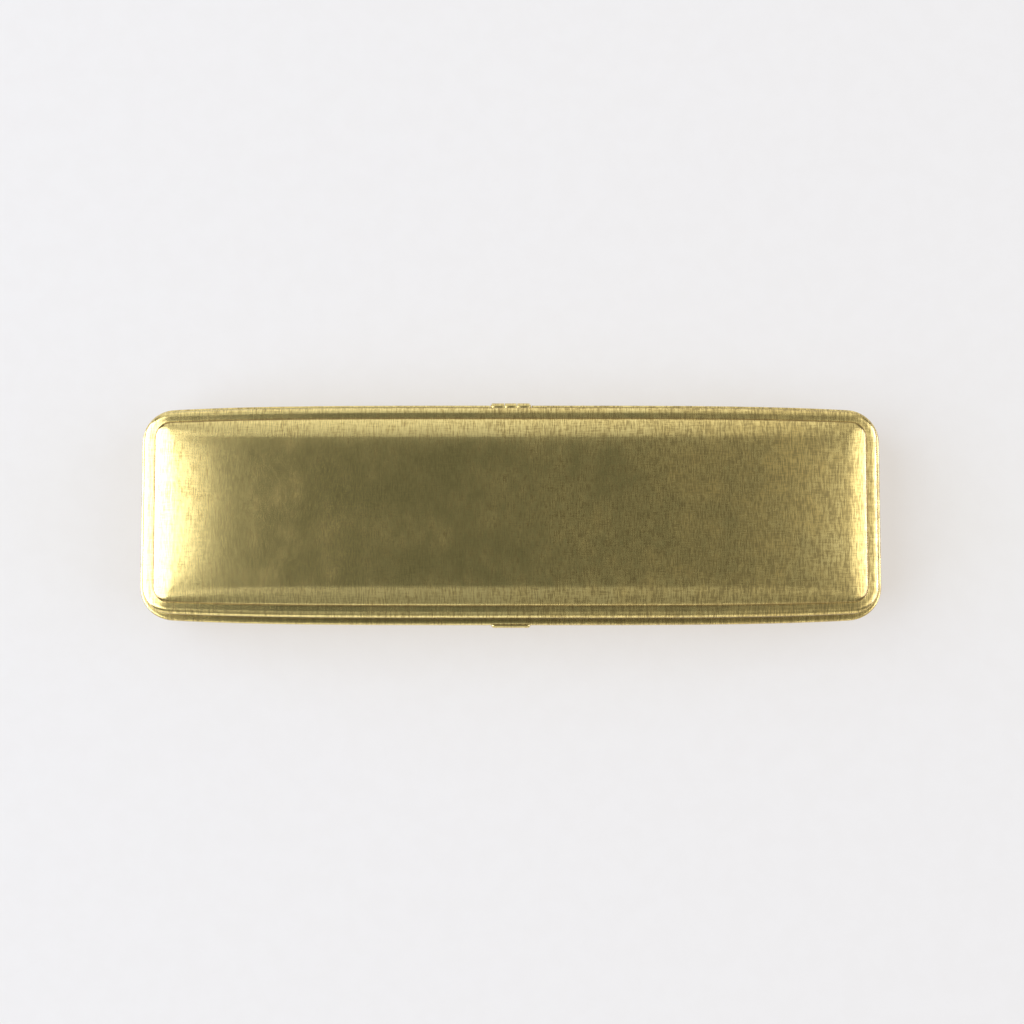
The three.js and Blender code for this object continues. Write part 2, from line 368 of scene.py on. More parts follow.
class Recipe:
    """A material's node tree, with short calls that add nodes and join them."""

    def __init__(self, name: str) -> None:
        """Starts a material that holds only its output and a Principled shader.

        Args:
            name: The material's name.
        """
        self.material = bpy.data.materials.new(name)
        self.material.use_nodes = True
        self.tree = self.material.node_tree
        self.shader = self.tree.nodes["Principled BSDF"]
        self.place = self.tree.nodes.new("ShaderNodeTexCoord").outputs["Object"]

    def set(self, **values: float | RGB) -> None:
        """Sets plain numbers and colours on the shader.

        Args:
            **values: Socket names, with underscores for spaces, and their values.
        """
        for name, value in values.items():
            socket = self.shader.inputs[name.replace("_", " ").title().replace("Ior", "IOR")]
            socket.default_value = (*value, 1) if isinstance(value, tuple) else value

    def join(self, output: bpy.types.NodeSocket, target: bpy.types.NodeSocket) -> None:
        """Joins an output to an input."""
        self.tree.links.new(output, target)

    def noise(self, scale: float, stretch: RGB = (1, 1, 1), detail: float = 3, rough: float = 0.5,
              twist: float = 0) -> bpy.types.NodeSocket:
        """Adds a noise pattern.

        Args:
            scale: How many features there are along a metre.
            stretch: Scale of the coordinates along each axis; small values draw the pattern out.
            detail: How many finer layers there are.
            rough: How strong the finer layers are.
            twist: How much the pattern is distorted.

        Returns:
            The pattern, from 0 to 1.
        """
        spot = add_node(self.tree, "ShaderNodeMapping", vector=self.place, scale=stretch)
        node = add_node(
            self.tree,
            "ShaderNodeTexNoise",
            vector=spot.outputs["Vector"],
            scale=scale,
            detail=detail,
            roughness=rough,
            distortion=twist,
        )
        return node.outputs["Fac"]

    def fit(self, value: bpy.types.NodeSocket, low: float, high: float, to_low: float = 0,
            to_high: float = 1, curve: str = "SMOOTHSTEP") -> bpy.types.NodeSocket:
        """Maps a range of a value onto another range, and holds it at either end.

        Args:
            value: The value.
            low: Start of its range.
            high: End of its range.
            to_low: Result at the start.
            to_high: Result at the end.
            curve: How it goes from one to the other, LINEAR or SMOOTHSTEP.

        Returns:
            The result.
        """
        limits = {"from_min": low, "from_max": high, "to_min": to_low, "to_max": to_high}
        how = {"interpolation_type": curve}
        return add_node(self.tree, "ShaderNodeMapRange", how, value=value, **limits).outputs["Result"]

    def maths(self, operation: str, first: bpy.types.NodeSocket,
              second: bpy.types.NodeSocket | float) -> bpy.types.NodeSocket:
        """Works out one value from two.

        Args:
            operation: The sum to do, such as ADD or MULTIPLY.
            first: The first value.
            second: The second value, or a plain number.

        Returns:
            The result.
        """
        node = add_node(self.tree, "ShaderNodeMath", {"operation": operation})
        self.join(first, node.inputs[0])
        if isinstance(second, (int, float)):
            node.inputs[1].default_value = second
        else:
            self.join(second, node.inputs[1])
        return node.outputs["Value"]

    def blend(self, parts: dict[bpy.types.NodeSocket, float]) -> bpy.types.NodeSocket:
        """Adds values up, each by its weight.

        Args:
            parts: The values and their weights.

        Returns:
            The weighted sum.
        """
        first, *rest = [self.maths("MULTIPLY", value, weight) for value, weight in parts.items()]
        for value in rest:
            first = self.maths("ADD", first, value)
        return first

    def mix(self, share: bpy.types.NodeSocket, first: RGB | bpy.types.NodeSocket,
            second: RGB) -> bpy.types.NodeSocket:
        """Mixes two colours.

        Args:
            share: The share of the second one.
            first: The first colour.
            second: The second colour.

        Returns:
            The mixture.
        """
        node = add_node(self.tree, "ShaderNodeMix", {"data_type": "RGBA"}, factor=share)
        first_socket, second_socket = node.inputs[MIX_FIRST], node.inputs[MIX_SECOND]
        if isinstance(first, tuple):
            first_socket.default_value = (*first, 1)
        else:
            self.join(first, first_socket)
        second_socket.default_value = (*second, 1)
        return node.outputs[MIX_RESULT]

    def axis(self, name: str) -> bpy.types.NodeSocket:
        """Picks one of the object coordinates.

        Args:
            name: X, Y or Z.

        Returns:
            The coordinate, in metres.
        """
        return add_node(self.tree, "ShaderNodeSeparateXYZ", vector=self.place).outputs[name]

    def worn(self, grain: bpy.types.NodeSocket) -> bpy.types.NodeSocket:
        """Finds where the metal turns darker, most in the recesses and broken up by the grain: partly
        tarnished metal, partly painted shade.

        Args:
            grain: The pattern of the brush marks.

        Returns:
            The share of the darker colour: partly tarnished metal, partly painted shade.
        """
        node = add_node(self.tree, "ShaderNodeAttribute", {"attribute_name": RECESS})
        edge = self.maths("MULTIPLY", self.fit(grain, 0.3, 0.7, 0.75, 1.15), node.outputs["Fac"])
        return self.fit(edge, 0, 1)

    def bump(self, height: bpy.types.NodeSocket, depth: float) -> bpy.types.NodeSocket:
        """Adds relief from a height pattern.

        Args:
            height: The pattern, from 0 to 1.
            depth: Its depth in metres.

        Returns:
            The normal.
        """
        node = add_node(self.tree, "ShaderNodeBump", distance=depth, strength=1, height=height)
        return node.outputs["Normal"]


@dataclass(frozen=True)
class BrushedBrass:
    """Hand-polished sheet brass that has aged: brush marks across it and a brown, mottled bloom."""

    name: str
    clean: RGB = (0.93, 0.76, 0.32)
    bloom: RGB = (0.82, 0.60, 0.20)
    streak: RGB = (0.42, 0.32, 0.125)
    # The darkest colour, laid into the wall, hem and crease: partly tarnished metal, partly painted
    # shade.
    tarnish_and_shade: RGB = (0.30, 0.22, 0.085)
    gloss: float = 0.19
    dull: float = 0.31
    bloom_amount: float = 1.0
    mark_depth: float = 2.8e-7

    def make(self) -> bpy.types.Material:
        """Builds the material.

        Returns:
            The material.
        """
        mix = Recipe(self.name)
        mix.set(metallic=1.0)
        marks = mix.noise(5600, (1, 0.12, 0.12), detail=2, rough=0.5)
        weft = mix.noise(5600, (0.12, 1, 0.12), detail=2, rough=0.5)
        rubs = mix.noise(1900, (1, 0.3, 0.3), detail=3, rough=0.6)
        clouds = mix.noise(75, (1, 1, 1), detail=4, rough=0.55)
        patches = mix.noise(420, (1, 0.6, 0.6), detail=4, rough=0.6)
        grain = mix.blend({marks: 0.68, weft: 0.32})
        mottle = mix.blend({patches: 0.35, clouds: 0.45, rubs: 0.2})
        bloom = mix.blend({grain: 0.4, mottle: 0.6})
        bloom = mix.maths("ADD", bloom, mix.fit(mix.axis("X"), -0.03, 0.05, -0.06, 0.09))
        bloom = mix.fit(bloom, 0.44, 0.68, 0, self.bloom_amount, "LINEAR")
        colour = mix.mix(bloom, self.clean, self.bloom)
        drag = mix.fit(grain, 0.4, 0.6, 0, 1, "LINEAR")
        drag = mix.maths("MULTIPLY", drag, mix.fit(bloom, 0, 0.6, 0.5, 1.0))
        colour = mix.mix(drag, colour, self.streak)
        # Darkens the wall, hem and crease: partly tarnished metal, partly painted shade.
        colour = mix.mix(mix.worn(grain), colour, self.tarnish_and_shade)
        mix.join(colour, mix.shader.inputs["Base Color"])
        # A reflection's far tail brightens with the fourth power of roughness, so the powers are mixed.
        haze = mix.fit(bloom, 0, 1, self.gloss**4, self.dull**4, "LINEAR")
        mix.join(mix.maths("POWER", haze, 0.25), mix.shader.inputs["Roughness"])
        mix.join(mix.bump(grain, self.mark_depth), mix.shader.inputs["Normal"])
        return mix.material


@dataclass(frozen=True)
class WoolFelt:
    """Undyed pressed wool: matt, with a mottle of matted fibres."""

    name: str
    light: RGB = (0.80, 0.765, 0.68)
    dark: RGB = (0.62, 0.575, 0.48)
    depth: float = 1.4e-4

    def make(self) -> bpy.types.Material:
        """Builds the material.

        Returns:
            The material.
        """
        mix = Recipe(self.name)
        mix.set(roughness=0.95, sheen_weight=0.35, sheen_roughness=0.5, specular_ior_level=0.15)
        strands = mix.noise(3800, (1, 0.3, 1), detail=4, rough=0.7, twist=1.5)
        crossing = mix.noise(3800, (0.3, 1, 1), detail=4, rough=0.7, twist=1.5)
        mottle = mix.noise(420, detail=4, rough=0.6)
        wool = mix.blend({strands: 0.5, crossing: 0.5})
        shade = mix.fit(mix.blend({wool: 0.82, mottle: 0.18}), 0.36, 0.64, 0, 1, "LINEAR")
        mix.join(mix.mix(shade, self.dark, self.light), mix.shader.inputs["Base Color"])
        mix.join(mix.bump(wool, self.depth), mix.shader.inputs["Normal"])
        return mix.material


@dataclass(frozen=True)
class GreyCard:
    """Plain pulp card with flecks."""

    name: str
    pale: RGB = (0.62, 0.55, 0.42)
    fleck: RGB = (0.42, 0.34, 0.23)

    def make(self) -> bpy.types.Material:
        """Builds the material.

        Returns:
            The material.
        """
        mix = Recipe(self.name)
        mix.set(specular_ior_level=0.2)
        pulp = mix.noise(1400, (1, 0.5, 1), detail=5, rough=0.7)
        flecks = mix.fit(mix.noise(5200, (1, 0.3, 1), detail=2), 0.58, 0.7)
        colour = mix.mix(mix.fit(pulp, 0.3, 0.7, 0, 0.4), self.pale, self.fleck)
        mix.join(mix.mix(flecks, colour, self.fleck), mix.shader.inputs["Base Color"])
        mix.join(mix.fit(pulp, 0.3, 0.7, 0.8, 0.95), mix.shader.inputs["Roughness"])
        mix.join(mix.bump(pulp, 3e-5), mix.shader.inputs["Normal"])
        return mix.material


@dataclass(frozen=True)
class LightTable:
    """The pale ground that the case lies on: a matt white sheet with a soft glow from below."""

    name: str
    # The glow is warm and the sheet's own tone cool. They add up to white in full light, while the
    # shaded floor beside the case turns warm: a painted warm bounce from the brass.
    tone: RGB = (0.190, 0.229, 0.272)
    shade: RGB = (0.184, 0.222, 0.264)
    glow: RGB = (0.59, 0.52, 0.437)

    def make(self) -> bpy.types.Material:
        """Builds the material.

        Returns:
            The material.
        """
        mix = Recipe(self.name)
        mix.set(roughness=0.9, specular_ior_level=0.1, emission_color=self.glow, emission_strength=1.0)
        grain = mix.noise(260, detail=4, rough=0.6)
        colour = mix.mix(mix.fit(grain, 0.35, 0.65), self.tone, self.shade)
        mix.join(colour, mix.shader.inputs["Base Color"])
        mix.join(mix.bump(grain, 2e-5), mix.shader.inputs["Normal"])
        return mix.material


# ---------------------------------------------------------------- the case's own sizes


def node_size(node: str) -> Vector:
    """Length, width and height of a CAD node, in millimetres."""
    low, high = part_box(node)
    return (Vector(high) - Vector(low)) / MM


@dataclass(frozen=True)
class Outline:
    """The case seen from above: a rounded rectangle whose long sides bow out, in millimetres."""

    length: float
    width: float
    corner: float = 5.4
    least_corner: float = 0.8
    bow: float = 0.75
    bow_fade: float = 10.0
    corner_steps: int = 14
    long_steps: int = 110
    short_steps: int = 26

    def ring(self, inset: float) -> np.ndarray:
        """The outline moved inwards.

        Args:
            inset: How far it is moved.

        Returns:
            Its x, y points, anticlockwise from the right-hand end. Their number is always the same.
        """
        a = self.length / 2 - inset
        b = self.width / 2 - inset
        r = max(self.corner - inset, self.least_corner)
        bow = self.bow * max(0.0, 1 - inset / self.bow_fade)
        slope = math.atan(4 * bow / (a - r))
        end_x = a - r + r * math.sin(slope)
        centre_y = b - bow - r * math.cos(slope)
        half = [(a, y) for y in np.linspace(-centre_y, centre_y, self.short_steps + 1)[1:-1]]
        half += arc((a - r, centre_y), (r, r), 0, 90 - math.degrees(slope), self.corner_steps)
        for along in np.linspace(1, -1, self.long_steps + 1)[1:-1]:
            half.append((along * end_x, b - bow * along**4))
        half += arc((r - a, centre_y), (r, r), 90 + math.degrees(slope), 180, self.corner_steps)
        right = np.array(half)
        return np.vstack([right, -right])

    def depth(self, x: float, y: float) -> float:
        """Measures how far a point lies inside the outline, in the plan.

        Args:
            x: Its distance from the middle along the case.
            y: Its distance from the middle across the case.

        Returns:
            The distance to the nearest edge.
        """
        a, b, r = self.length / 2, self.width / 2, self.corner
        long_side = b - self.bow * min(1.0, abs(x) / (a - r)) ** 4
        over_x, over_y = abs(x) - (a - r), abs(y) - (long_side - r)
        if over_x > 0 and over_y > 0:
            return r - math.hypot(over_x, over_y)
        return min(a - abs(x), long_side - abs(y))


@dataclass(frozen=True)
class CaseSizes:
    """The case's main sizes, read from the frame, in millimetres."""

    outline: Outline
    parting: float
    axis_y: float
    height: float
    sheet: float = 0.5
    rim_gap: float = 0.15

    @classmethod
    def from_frame(cls) -> "CaseSizes":
        """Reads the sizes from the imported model.

        Returns:
            The sizes.
        """
        shell = node_size("lid_shell")
        axis = frame["joints"][0]["pos_m"]
        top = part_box("lid_shell")[1][2] / MM
        return cls(Outline(shell.x, shell.y), parting=axis[2] / MM, axis_y=axis[1] / MM, height=top)


# ---------------------------------------------------------------- sub-assemblies


@dataclass
class PressedPan:
    """One pressed pan: folded hem, upright wall, roll, ledge, shoulder and panel, in millimetres."""

    half: Half
    sizes: CaseSizes
    ledge_level: float
    crown: float
    finish: bpy.types.Material
    bead: float = 0.4
    wall: float = 0.95
    roll: float = 1.04
    ledge: float = 0.81
    ledge_slope: float = 5.5
    roll_slope: float = 52.0
    lip_radius: float = 0.15
    shoulder: float = 3.2
    crown_power_x: float = 6.0
    crown_power_y: float = 4.0
    fillet: float = 0.1
    inner_foot: float = 1.2
    notch: Point = (6.8, 1.16)
    notch_reach: Point = (1.5, 2.0)
    outer_rings: tuple[int, int] = (26, 16)
    inner_rings: tuple[int, int] = (16, 8)
    # Where the darker colour lies on the wall, hem and crease: partly tarnished metal, partly painted
    # shade.
    wall_recess: RGB = (0.2, 4.9, 0.4)
    hem_recess: RGB = (0.25, 1.4, 0.3)
    hem_inset: float = 0.95
    hem_share: float = 0.35
    crease_recess: Point = (0.35, 0.4)

    @property
    def crease(self) -> float:
        """Inset of the crease between the ledge and the shoulder."""
        return self.wall + self.roll + self.ledge

    @property
    def rise(self) -> float:
        """How far the shoulder rises above the ledge, below the crown."""
        reach = self.sizes.height - self.sizes.parting if self.half is Half.LID else self.sizes.parting
        return reach - self.ledge_level - self.crown

    def swell(self, plan: np.ndarray) -> np.ndarray:
        """Finds how far the crown lifts the panel.

        Args:
            plan: Points in the plan.

        Returns:
            The lift at each point.
        """
        outline = self.sizes.outline
        x = np.abs(plan[:, 0]) / (outline.length / 2 - self.crease)
        y = np.abs(plan[:, 1]) / (outline.width / 2 - self.crease)
        share_x = 1 - np.minimum(1, x**self.crown_power_x)
        share_y = 1 - np.minimum(1, y**self.crown_power_y)
        return self.crown * share_x * share_y

    def lifted(self, plan: np.ndarray, level: float | np.ndarray) -> np.ndarray:
        """Puts a plan ring at a level.

        Args:
            plan: The ring in the plan.
            level: Its height, counted from the parting plane.

        Returns:
            The ring in space.
        """
        z = np.broadcast_to(self.sizes.parting + self.half.side * level, len(plan))
        return np.column_stack([plan, z])

    def dome_rings(self, depth: float, scales: int, steps: int) -> list[np.ndarray]:
        """Rings of the panel and shoulder, from the middle out to the crease.

        Args:
            depth: How far the surface lies below the outer one.
            scales: How many rings the panel has.
            steps: How many rings the shoulder has.

        Returns:
            The rings.
        """
        inner = self.sizes.outline.ring(self.crease + self.shoulder)
        plans = [(inner * math.sin(math.pi / 2 * k / scales), 1.0) for k in range(1, scales)]
        for i in range(steps, 0, -1):
            u = 1 - math.cos(i / steps * math.pi / 2)
            foot = self.crease + depth * (1 - u)
            share = math.sqrt(1 - (1 - u) ** 2)
            plans.append((self.sizes.outline.ring(foot + (self.shoulder - depth) * u), share))
        floor = self.ledge_level - depth
        return [
            self.lifted(plan, floor + share * (self.rise + self.swell(plan))) for plan, share in plans
        ]

    def side_rings(self, profile: list[Point]) -> list[np.ndarray]:
        """Rings of a profile given as (inset, level) points."""
        return [self.lifted(self.sizes.outline.ring(inset), level) for inset, level in profile]

    def roll_profile(self) -> list[Point]:
        """Draws the ledge's outward slope, the broad roll and the tight lip above the wall.

        Returns:
            Points as (inset, level), from the crease down.
        """
        slope, steep = math.radians(self.ledge_slope), math.radians(self.roll_slope)
        fall = self.ledge * math.tan(slope)
        inset, level = self.crease - self.ledge, self.ledge_level - fall
        reach = self.roll - self.lip_radius * (1 - math.sin(steep))
        radius = reach / (math.sin(steep) - math.sin(slope))
        centre = (inset + radius * math.sin(slope), level - radius * math.cos(slope))
        points = [(self.crease - self.ledge / 2, self.ledge_level - fall / 2)]
        points += arc(centre, (radius, radius), 90 + self.ledge_slope, 90 + self.roll_slope, 10)
        end_inset, end_level = points[-1]
        lip = self.lip_radius
        centre = (end_inset + lip * math.sin(steep), end_level - lip * math.cos(steep))
        return points + arc(centre, (lip, lip), 90 + self.roll_slope, 180, 5)[1:]

    def outer_profile(self) -> list[Point]:
        """Draws the ledge, roll, wall, hem and rim.

        Returns:
            Points as (inset, level), from the crease down.
        """
        level, fillet, gap = self.ledge_level, self.fillet, self.sizes.rim_gap
        hem_top = gap + 2 * self.bead
        points = arc((self.crease - fillet, level + fillet), (fillet, fillet), 0, -90, 4)
        points += self.roll_profile()
        wall_top = points[-1][1]
        points += [(self.wall, wall_top * share + hem_top * (1 - share)) for share in (0.66, 0.33)]
        points += arc((self.wall - fillet, hem_top + fillet), (fillet, fillet), 0, -90, 5)
        points += arc((self.bead, gap + self.bead), (self.bead, self.bead), 90, 270, 14)
        points.append((self.wall + self.sizes.sheet - fillet, gap))
        points.append((self.wall + self.sizes.sheet, gap + fillet))
        return points

    def inner_profile(self) -> list[Point]:
        """Draws the inside of wall, roll and ledge.

        Returns:
            Points as (inset, level), from the rim up.
        """
        sheet = self.sizes.sheet
        radius = self.roll - sheet
        level = self.ledge_level
        points = [(self.wall + sheet, self.sizes.rim_gap + self.inner_foot)]
        points += arc((self.wall + self.roll, level - self.roll), (radius, radius), 180, 90, 6)
        points.append((self.crease - 0.01, level - sheet))
        return points

    def build(self, name: str, node: str) -> bpy.types.Object:
        """Builds the pan, cuts its hem away for the hinge and hands it over.

        Args:
            name: The piece's name.
            node: The CAD node that it stands for.

        Returns:
            The piece.
        """
        rings = self.dome_rings(0, *self.outer_rings)
        rings += self.side_rings(self.outer_profile() + self.inner_profile())
        rings += self.dome_rings(self.sizes.sheet, *self.inner_rings)[::-1]
        pan = loft(name, rings)
        self.mark_recesses(pan)
        combine(pan, self.notch_cutter(), "DIFFERENCE")
        hand_over(pan, self.half.body, "shell_brass", self.finish, node)
        return pan

    def mark_recesses(self, pan: bpy.types.Object) -> None:
        """Notes on each vertex how deep it lies in a corner where polish and cloth don't reach; the
        brass is darkened there, partly as tarnished metal, partly as painted shade.

        Args:
            pan: The whole pan, before anything is cut out of it.
        """
        layer = pan.data.attributes.new(RECESS, "FLOAT", "POINT")
        outline = self.sizes.outline
        wall_reach, wall_top, wall_fade = self.wall_recess
        hem_reach, hem_top, hem_fade = self.hem_recess
        crease_reach, crease_height = self.crease_recess
        for vertex in pan.data.vertices:
            x, y, z = vertex.co
            level = abs(z - self.sizes.parting)
            inset = outline.depth(x, y)
            wall = near(inset, self.wall, wall_reach) * below(level, wall_top, wall_fade)
            hem = near(inset, self.hem_inset, hem_reach) * below(level, hem_top, hem_fade)
            crease = near(inset, self.crease, crease_reach) * (level < self.ledge_level + crease_height)
            layer.data[vertex.index].value = min(1.0, wall + self.hem_share * hem + crease)

    def notch_cutter(self) -> bpy.types.Object:
        """Makes the block that is cut out of the hem for the barrel.

        Returns:
            The block.
        """
        length, height = self.notch
        inwards, outwards = self.notch_reach
        low_y, high_y = self.sizes.axis_y - inwards, self.sizes.axis_y + outwards
        start, end = self.sizes.parting, self.sizes.parting + self.half.side * height
        corners = [(low_y, start), (high_y, start), (high_y, end), (low_y, end)]
        return prism("notch", corners, -length / 2, length / 2)


@dataclass
class GuideCollar:
    """The thin band inside the base that the lid closes over. Sizes are in millimetres."""

    sizes: CaseSizes
    finish: bpy.types.Material
    node: str = "base_collar"
    gap_length: float = 7.0
    thickness: float = 0.35
    edge: float = 0.12

    def path(self) -> bpy.types.Object:
        """Draws the band's middle line, open at the back for the hinge.

        Returns:
            The path.
        """
        low, high = (Vector(corner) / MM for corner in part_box(self.node))
        inset = self.sizes.outline.width / 2 - high.y + self.thickness / 2
        ring = self.sizes.outline.ring(inset)
        rear = np.where(ring[:, 1] > 0, np.abs(ring[:, 0]), np.inf)
        ring = np.roll(ring, -int(np.argmin(rear)), axis=0)
        end = self.gap_length / 2
        kept = [(x, y) for x, y in ring if not (y > 0 and abs(x) < end)]
        edge_y = kept[0][1]
        points = [(-end, edge_y), *kept, (end, edge_y)]
        curve = bpy.data.curves.new("collar_path", "CURVE")
        curve.dimensions = "3D"
        spline = curve.splines.new("POLY")
        spline.points.add(len(points) - 1)
        level = (low.z + high.z) / 2
        for point, (x, y) in zip(spline.points, points):
            point.co = (x, y, level, 1)
        path = bpy.data.objects.new("collar_path", curve)
        bpy.context.scene.collection.objects.link(path)
        return path

    def section_tree(self) -> bpy.types.NodeTree:
        """A node tree that sweeps a rounded strip along a path.

        Returns:
            The tree, with the inputs Thickness, Height, Edge and Finish. Nothing in it is random.
        """
        tree, given = grower("band_along_path", "Path", ("Thickness", "Height", "Edge"))
        strip = add_node(
            tree,
            "GeometryNodeCurvePrimitiveQuadrilateral",
            width=given["Thickness"],
            height=given["Height"],
        )
        rounded = add_node(
            tree,
            "GeometryNodeFilletCurve",
            {"mode": "POLY"},
            curve=strip.outputs["Curve"],
            count=3,
            radius=given["Edge"],
        )
        sweep = add_node(
            tree,
            "GeometryNodeCurveToMesh",
            curve=given["Path"],
            profile_curve=rounded.outputs["Curve"],
            fill_caps=True,
        )
        end_grower(tree, sweep.outputs["Mesh"], given["Finish"])
        return tree

    def build(self) -> bpy.types.Object:
        """Sweeps the band and hands it over.

        Returns:
            The piece.
        """
        path = self.path()
        tree = self.section_tree()
        values = {
            "Thickness": self.thickness,
            "Height": node_size(self.node).z,
            "Edge": self.edge,
            "Finish": self.finish,
        }
        band = grown(path, tree, values, "guide_collar")
        face_outwards(band)
        hand_over(band, Half.BASE.body, "fitting_brass", self.finish, self.node)
        return band


def grown(
    source: bpy.types.Object,
    tree: bpy.types.NodeTree,
    values: dict[str, object],
    name: str,
    keep: bool = False,
) -> bpy.types.Object:
    """Runs a geometry node tree on an object and keeps the result as a plain mesh.

    Args:
        source: The object that the tree works on.
        tree: The tree.
        values: The tree's inputs by name.
        name: Name of the new piece.
        keep: Whether the source stays.

    Returns:
        The new mesh object.
    """
    modifier = source.modifiers.new("grow", "NODES")
    modifier.node_group = tree
    for item in tree.interface.items_tree:
        if item.in_out == "INPUT" and item.name in values:
            modifier[item.identifier] = values[item.name]
    graph = bpy.context.evaluated_depsgraph_get()
    mesh = bpy.data.meshes.new_from_object(source.evaluated_get(graph))
    mesh.name = name
    source.modifiers.remove(modifier)
    piece = bpy.data.objects.new(name, mesh)
    bpy.context.scene.collection.objects.link(piece)
    if not keep:
        bpy.data.objects.remove(source)
    return piece


@dataclass
class BarrelHinge:
    """Two leaves whose ends are curled into knuckles round one pin, in millimetres."""

    sizes: CaseSizes
    finish: bpy.types.Material
    length: float = 6.2
    barrel: float = 0.7
    bore: float = 0.41
    middle: float = 1.9
    knuckle_gap: float = 0.1
    leaf: float = 0.4
    leaf_y: float = 16.3
    leaf_reach: Point = (0.45, 2.6)
    web_reach: Point = (0.15, 0.7)
    seam: float = 14.0
    inner_seam: float = 22.4
    curl_steps: int = 40
    bore_steps: int = 32
    edge: float = 0.05
    pin: float = 0.35
    pin_head: Point = (0.5, 0.2)
    pin_play: float = 0.05
    pin_dome: float = 0.7
    pin_steps: int = 40

    def curl(self, side: int) -> list[Point]:
        """Draws the section of a knuckle: sheet rolled round the bore, with a web out to the leaf.

        Args:
            side: 1 for the lid's leaf, -1 for the base's.

        Returns:
            Points in Y and Z.
        """
        y, z = self.sizes.axis_y, self.sizes.parting
        low, high = self.web_reach
        reach = math.sqrt(self.barrel**2 - low**2)
        start = math.degrees(math.atan2(low, -reach))
        top = math.degrees(math.asin(high / self.barrel)) if high < self.barrel else 90.0
        radii, bore = (self.barrel, self.barrel), (self.bore, self.bore)
        outer = arc((0, 0), radii, 180 - top, -180 + self.seam, self.curl_steps)
        inner = arc((0, 0), bore, -180 + self.inner_seam, start, self.bore_steps)
        tail = self.leaf_y - self.leaf / 2 - y
        section = [(tail, high), *outer, *inner, (tail, low)]
        return [(y + point[0], z + side * point[1]) for point in section]

    def leaf_plate(self, name: str, side: int) -> bpy.types.Object:
        """Makes the flat plate of a leaf, soldered inside a wall.

        Args:
            name: The plate's name.
            side: 1 for the lid's leaf, -1 for the base's.

        Returns:
            The plate.
        """
        near_z, far_z = (self.sizes.parting + side * reach for reach in self.leaf_reach)
        inner_y, outer_y = self.leaf_y - self.leaf, self.leaf_y
        corners = [(inner_y, near_z), (outer_y, near_z), (outer_y, far_z), (inner_y, far_z)]
        return prism(name, corners, -self.length / 2, self.length / 2)

    def build_leaf(self, half: Half, spans: list[Point]) -> bpy.types.Object:
        """Builds one leaf with its knuckles and hands it over.

        Args:
            half: The half of the case that carries it.
            spans: First and last x of each knuckle.

        Returns:
            The piece.
        """
        leaf = self.leaf_plate(f"{half.body}_hinge_knuckles", half.side)
        for low, high in spans:
            combine(leaf, prism("knuckle", self.curl(half.side), low, high), "UNION")
        round_edges(leaf, self.edge, segments=2, angle=50)
        node = f"{half.body}_hinge_leaf"
        hand_over(leaf, half.body, "fitting_brass", self.finish, node, sharp=40)
        return leaf

    def build_pin(self) -> bpy.types.Object:
        """Turns the pin, with a domed head peened over at each end.

        Returns:
            The piece.
        """
        head, thick = self.pin_head
        end = self.length / 2 + self.pin_play
        dome = arc((end + thick * (1 - self.pin_dome), 0), (thick * self.pin_dome, head), 90, 8, 8)
        stem = [(end, self.pin), (end, head), *dome]
        profile = [(-x, r) for x, r in reversed(stem)] + stem
        turns = np.linspace(0, 2 * math.pi, self.pin_steps, endpoint=False)
        y, z = self.sizes.axis_y, self.sizes.parting
        rings = [
            np.column_stack([np.full(len(turns), x), y + r * np.cos(turns), z + r * np.sin(turns)])
            for x, r in profile
        ]
        pin = loft("hinge_rivet", rings)
        hand_over(pin, Half.BASE.body, "fitting_brass", self.finish, "hinge_pin", sharp=50)
        return pin

    def build(self) -> list[bpy.types.Object]:
        """Builds both leaves and the pin.

        Returns:
            The three pieces.
        """
        middle, half_length = self.middle / 2, self.length / 2
        outer = middle + self.knuckle_gap
        return [
            self.build_leaf(Half.BASE, [(-half_length, -outer), (outer, half_length)]),
            self.build_leaf(Half.LID, [(-middle, middle)]),
            self.build_pin(),
        ]


@dataclass
class ThumbTab:
    """The lip at the front that a thumbnail lifts. Sizes are in millimetres."""

    finish: bpy.types.Material
    node: str = "thumb_tab"
    corner: float = 0.55
    crown: float = 0.5
    steps: int = 7

    def outline(self, low: Vector, high: Vector, inset: float, y: float) -> np.ndarray:
        """Draws the edge of the lip at one depth.

        Args:
            low: Least corner of the lip.
            high: Greatest corner of the lip.
            inset: How far the edge stands in from its full size.
            y: Depth at which it is drawn.

        Returns:
            The outline.
        """
        r = self.corner
        left, right = low.x + r, high.x - r
        bottom, top = low.z + r, high.z - r
        quarters = [(left, bottom, 180), (right, bottom, 270), (right, top, 0), (left, top, 90)]
        radii = (r - inset, r - inset)
        plan = [point for x, z, start in quarters for point in arc((x, z), radii, start, start + 90, 8)]
        return np.array([(x, y, z) for x, z in plan])

    def build(self) -> bpy.types.Object:
        """Builds the lip with a rounded front and hands it over.

        Returns:
            The piece.
        """
        low, high = (Vector(corner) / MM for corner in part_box(self.node))
        rings = []
        for step in range(self.steps + 1):
            angle = math.pi / 2 * step / self.steps
            depth = high.y + (low.y - high.y) * math.sin(angle)
            rings.append(self.outline(low, high, self.crown * (1 - math.cos(angle)), depth))
        lip = loft("thumb_lip", rings)
        hand_over(lip, Half.LID.body, "fitting_brass", self.finish, self.node, sharp=60)
        return lip


